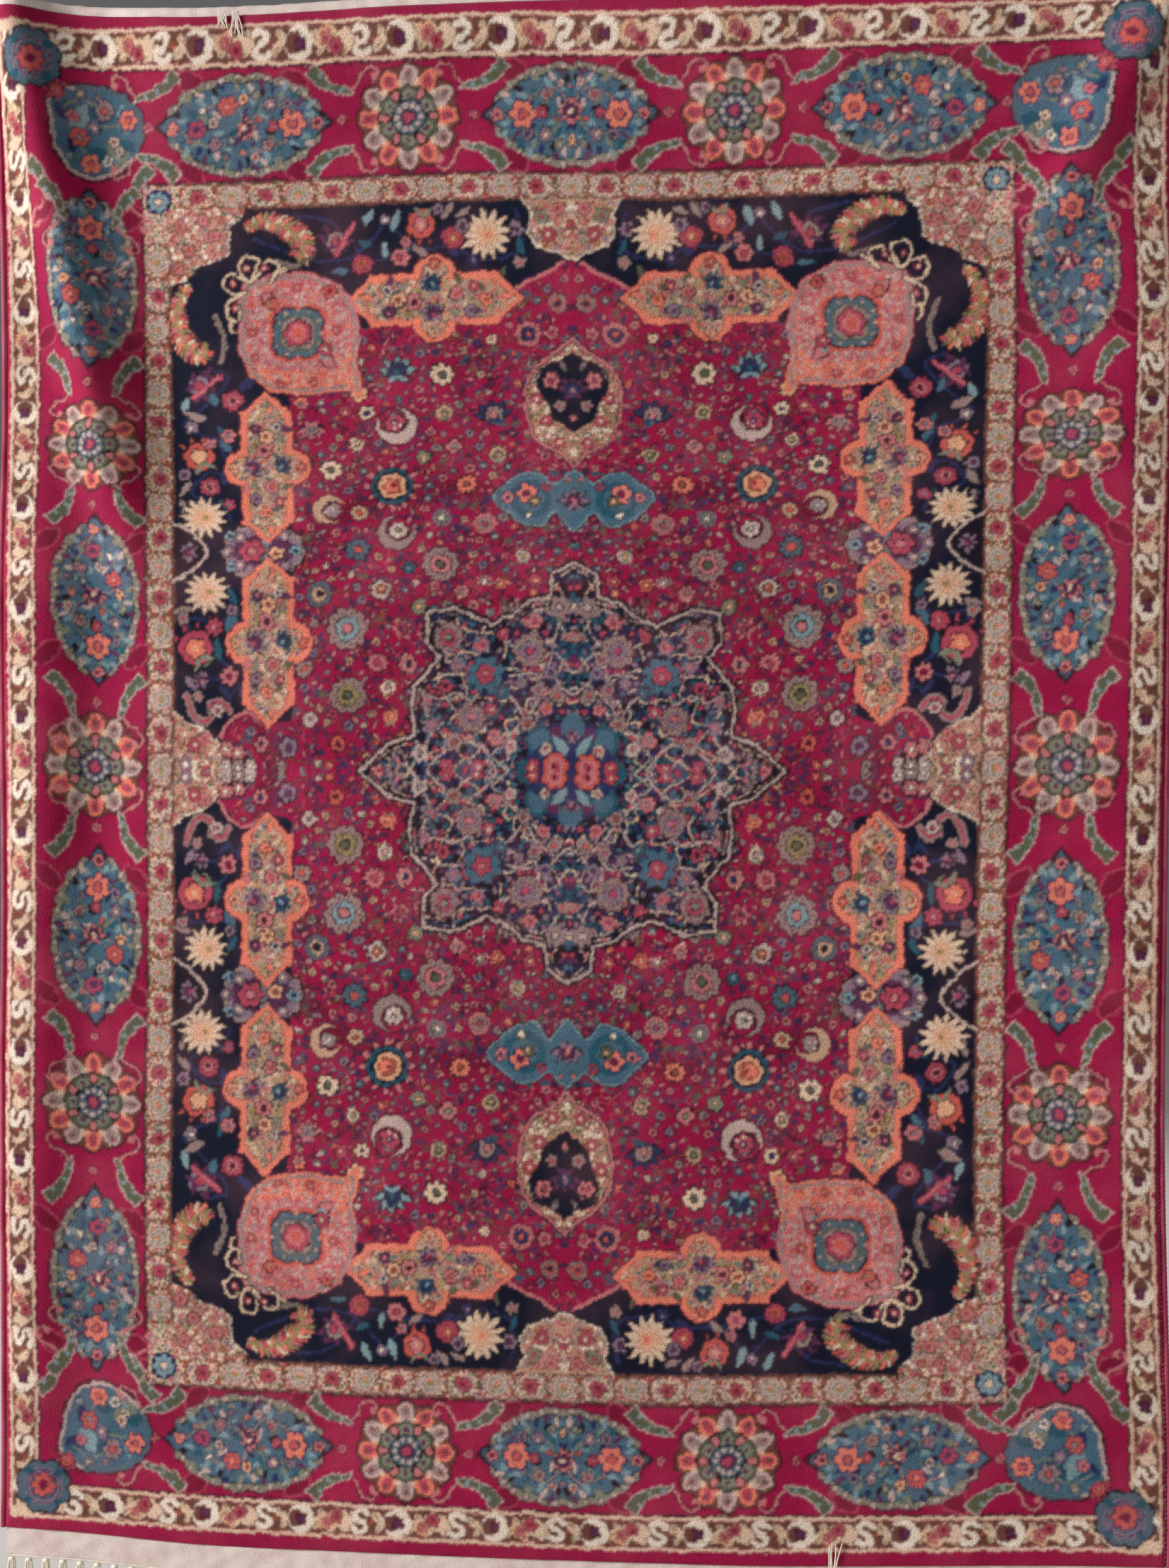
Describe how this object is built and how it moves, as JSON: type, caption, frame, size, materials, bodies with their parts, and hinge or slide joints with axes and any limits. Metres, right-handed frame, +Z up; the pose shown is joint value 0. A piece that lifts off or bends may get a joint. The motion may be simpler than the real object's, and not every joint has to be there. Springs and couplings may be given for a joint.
{
  "type": "persian rug",
  "caption": "Fringed wool pile rug with a medallion and cartouche borders, hung by its top edge in soft folds.",
  "frame": {"origin": "middle of the hung top edge, on the crest of the turned-back kilim end", "axes": "+Z up, +X to the right as the pile is faced, pile side towards -Y"},
  "size_m": [1.5354, 0.0566, 2.1389],
  "materials": {
    "pile": "matt wool pile, mainly crimson",
    "selvedge": "crimson wool overcasting",
    "kilim": "flat-woven cream cotton",
    "fringe": "knotted cream cotton warps"
  },
  "bodies": {
    "root": {"rug_body": "pile", "selvedge_left": "selvedge", "selvedge_right": "selvedge", "kilim_end_top": "kilim", "kilim_end_bottom": "kilim", "fringe_top": "fringe", "fringe_bottom": "fringe"}
  },
  "joints": []
}
